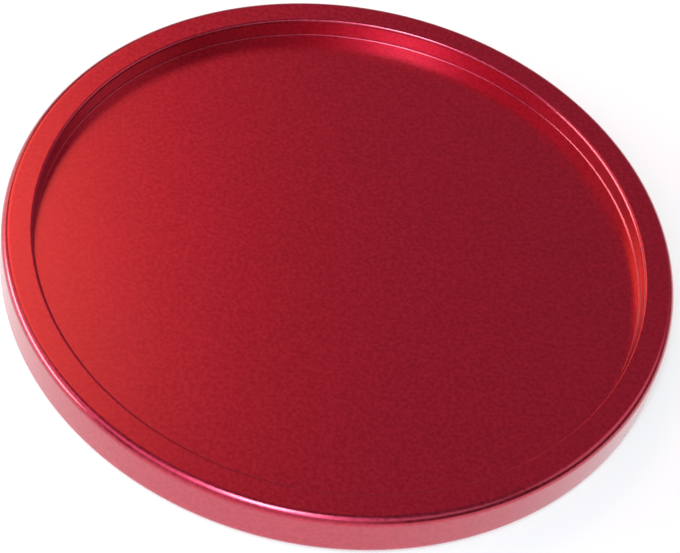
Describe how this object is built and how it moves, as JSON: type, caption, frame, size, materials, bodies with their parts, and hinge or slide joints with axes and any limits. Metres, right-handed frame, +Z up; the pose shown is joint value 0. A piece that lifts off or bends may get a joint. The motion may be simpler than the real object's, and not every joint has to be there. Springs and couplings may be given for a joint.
{
  "type": "air hockey puck",
  "caption": "Flat round air hockey puck in red anodised aluminium, with a raised rim around a shallow recess and a flat underside that glides on a cushion of air.",
  "frame": {"origin": "centre of the flat underside, on the puck's axis", "axes": "+Z up along the puck's axis, out of the recess; the puck is round, so +X and +Y are any two directions across it"},
  "size_m": [0.0826, 0.0826, 0.0063],
  "materials": {
    "rim": "turned, then satin red anodised with a clear sealed surface",
    "floor": "fine blasted, then satin red anodised with a clear sealed surface"
  },
  "bodies": {
    "root": {"rim_ring": "rim", "floor_disc": "floor"}
  },
  "joints": []
}
